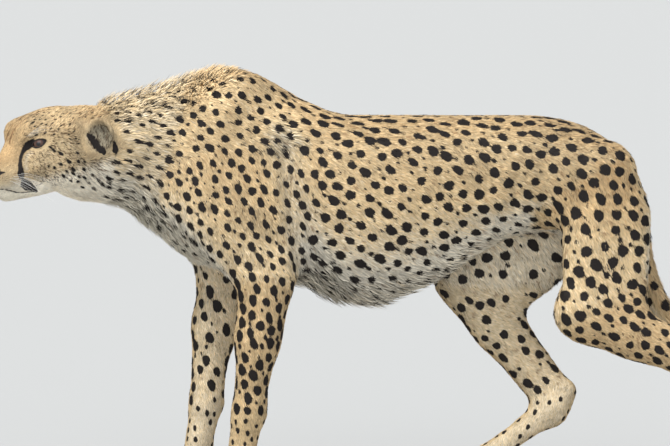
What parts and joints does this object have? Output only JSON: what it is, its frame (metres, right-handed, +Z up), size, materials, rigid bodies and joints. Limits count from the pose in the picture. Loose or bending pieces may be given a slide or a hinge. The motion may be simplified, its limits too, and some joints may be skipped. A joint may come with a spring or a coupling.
{
  "type": "cheetah",
  "caption": "Still, life-size cheetah in a slow stalking step, head low and turned to its left, tail hanging and curling back near the floor.",
  "frame": {"origin": "on the floor, under the middle of the whole animal's box", "axes": "+X towards the tail, with the head at -X; -Y is the animal's left side; +Z up"},
  "size_m": [1.4634, 0.2482, 0.7019],
  "materials": {
    "coat": "short tan fur with solid black spots, paler on the belly and throat",
    "pale_coat": "soft off-white fur of the chin, the mane and the whiskers",
    "nose": "moist black nose leather",
    "eye": "glossy amber eye with a round black pupil",
    "claw": "smooth dark horn"
  },
  "bodies": {
    "root": {"head": "coat", "lower_jaw": "pale_coat", "nose": "nose", "eye_left": "eye", "ear_left": "coat", "eye_right": "eye", "ear_right": "coat", "neck": "coat", "trunk": "coat", "shoulder_left": "coat", "forearm_left": "coat", "pastern_left": "coat", "claw_fore_left_1": "claw", "claw_fore_left_2": "claw", "claw_fore_left_3": "claw", "claw_fore_left_4": "claw", "forepaw_left": "coat", "shoulder_right": "coat", "forearm_right": "coat", "pastern_right": "coat", "claw_fore_right_1": "claw", "claw_fore_right_2": "claw", "claw_fore_right_3": "claw", "claw_fore_right_4": "claw", "forepaw_right": "coat", "thigh_left": "coat", "shank_left": "coat", "hock_left": "coat", "claw_hind_left_1": "claw", "claw_hind_left_2": "claw", "claw_hind_left_3": "claw", "claw_hind_left_4": "claw", "hindpaw_left": "coat", "thigh_right": "coat", "shank_right": "coat", "hock_right": "coat", "claw_hind_right_1": "claw", "claw_hind_right_2": "claw", "claw_hind_right_3": "claw", "claw_hind_right_4": "claw", "hindpaw_right": "coat", "tail_base": "coat", "tail_middle": "coat", "tail_end": "coat"}
  },
  "joints": []
}
